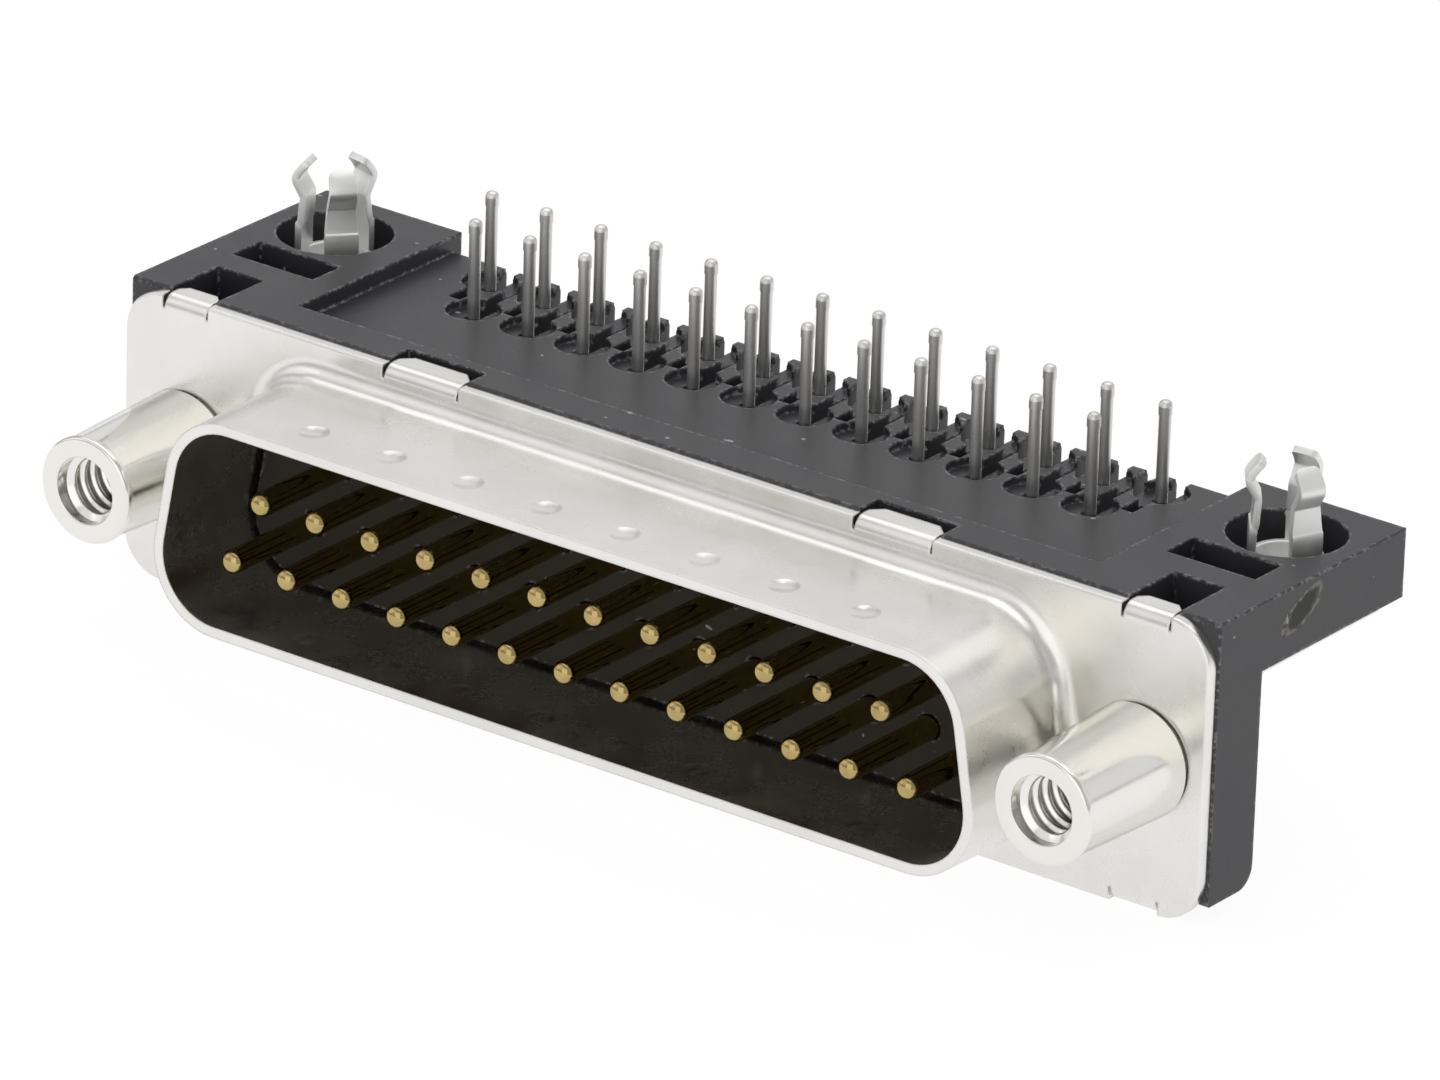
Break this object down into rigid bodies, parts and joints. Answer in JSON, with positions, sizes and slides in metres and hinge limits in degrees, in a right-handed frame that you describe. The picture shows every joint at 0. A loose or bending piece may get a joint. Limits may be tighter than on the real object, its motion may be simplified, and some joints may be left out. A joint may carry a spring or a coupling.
{
  "type": "d-sub connector",
  "caption": "Right-angle D-sub plug for a circuit board, with a D-shaped metal hood round two rows of pins, threaded standoffs and sprung boardlocks.",
  "frame": {"origin": "centre of the plug's D on the front face of the flange", "axes": "+X along the rows of contacts, to the right seen from the mating side; +Y from the mating side to the rear; +Z towards the circuit board that the tails go through, with the wide row of pins and the D's wide side at -Z"},
  "size_m": [0.0534, 0.0193, 0.0159],
  "materials": {
    "plated_shell": "satin tin-plated steel sheet",
    "black_moulding": "satin black glass-filled thermoplastic",
    "contact_metal": "gold-flashed mating end, tin-plated tail",
    "turned_steel": "bright nickel-plated turned steel",
    "bracket_metal": "bright tin-plated sheet",
    "lock_metal": "bright tin-plated sprung sheet"
  },
  "bodies": {
    "root": {"front_shell": "plated_shell", "housing": "black_moulding", "contact_01": "contact_metal", "contact_02": "contact_metal", "contact_03": "contact_metal", "contact_04": "contact_metal", "contact_05": "contact_metal", "contact_06": "contact_metal", "contact_07": "contact_metal", "contact_08": "contact_metal", "contact_09": "contact_metal", "contact_10": "contact_metal", "contact_11": "contact_metal", "contact_12": "contact_metal", "contact_13": "contact_metal", "contact_14": "contact_metal", "contact_15": "contact_metal", "contact_16": "contact_metal", "contact_17": "contact_metal", "contact_18": "contact_metal", "contact_19": "contact_metal", "contact_20": "contact_metal", "contact_21": "contact_metal", "contact_22": "contact_metal", "contact_23": "contact_metal", "contact_24": "contact_metal", "contact_25": "contact_metal", "standoff_left": "turned_steel", "ground_bracket_left": "bracket_metal", "boardlock_left": "lock_metal", "standoff_right": "turned_steel", "ground_bracket_right": "bracket_metal", "boardlock_right": "lock_metal"}
  },
  "joints": []
}
